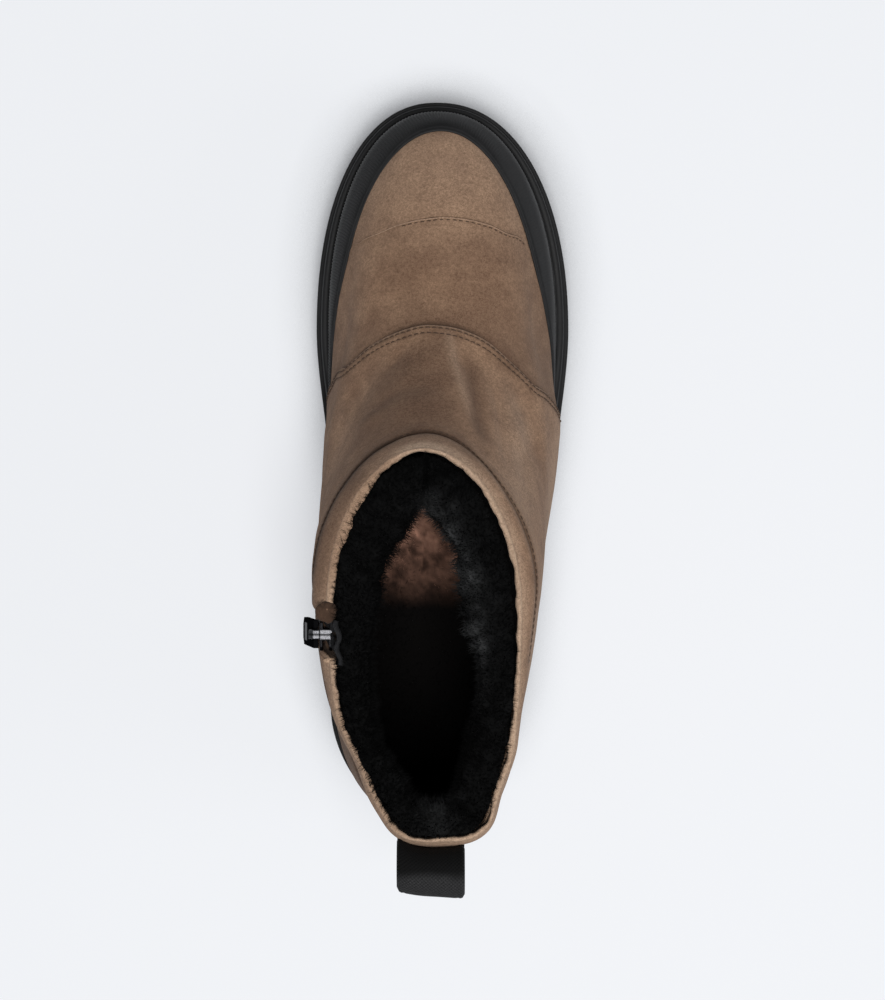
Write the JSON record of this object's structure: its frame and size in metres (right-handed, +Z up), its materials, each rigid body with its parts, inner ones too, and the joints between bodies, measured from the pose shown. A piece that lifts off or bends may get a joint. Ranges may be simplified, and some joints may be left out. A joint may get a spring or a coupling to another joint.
{
  "type": "sheepskin boot",
  "caption": "Right ankle boot in brown suede with black fur lining, side zip, pull loop, rubber rand and thick lugged sole.",
  "frame": {"origin": "on the floor under the middle of the boot's box: the heel and ball of the sole stand on Z = 0", "axes": "+Y along the foot towards the toe, +X towards the outer side of the right foot, +Z up"},
  "size_m": [0.106, 0.311, 0.1809],
  "materials": {
    "sole_rubber": "matt black moulded rubber",
    "rand_rubber": "matt charcoal rubber with fine upright ribs",
    "suede": "napped brown suede",
    "fur": "dense black shearling pile",
    "fleece": "rust brown curly fleece",
    "zip_tape": "black woven tape",
    "zip_metal": "polished nickel plate",
    "pull_metal": "black lacquer over metal, worn bright at the edges",
    "webbing": "black ribbed webbing",
    "thread": "brown waxed thread"
  },
  "bodies": {
    "boot": {"outsole": "sole_rubber", "rand": "rand_rubber", "upper": "suede", "insole": "fleece", "zip_chain": "zip_tape", "zip_slider": "zip_metal", "pull_loop": "webbing"},
    "zip_pull": {"zip_pull": "pull_metal"}
  },
  "joints": [
    {"name": "pull_swing", "type": "hinge", "parent": "boot", "child": "zip_pull", "pos_m": [-0.04685, -0.05938, 0.1589], "axis": [0, 1, 0], "range_deg": [0, 150]}
  ]
}
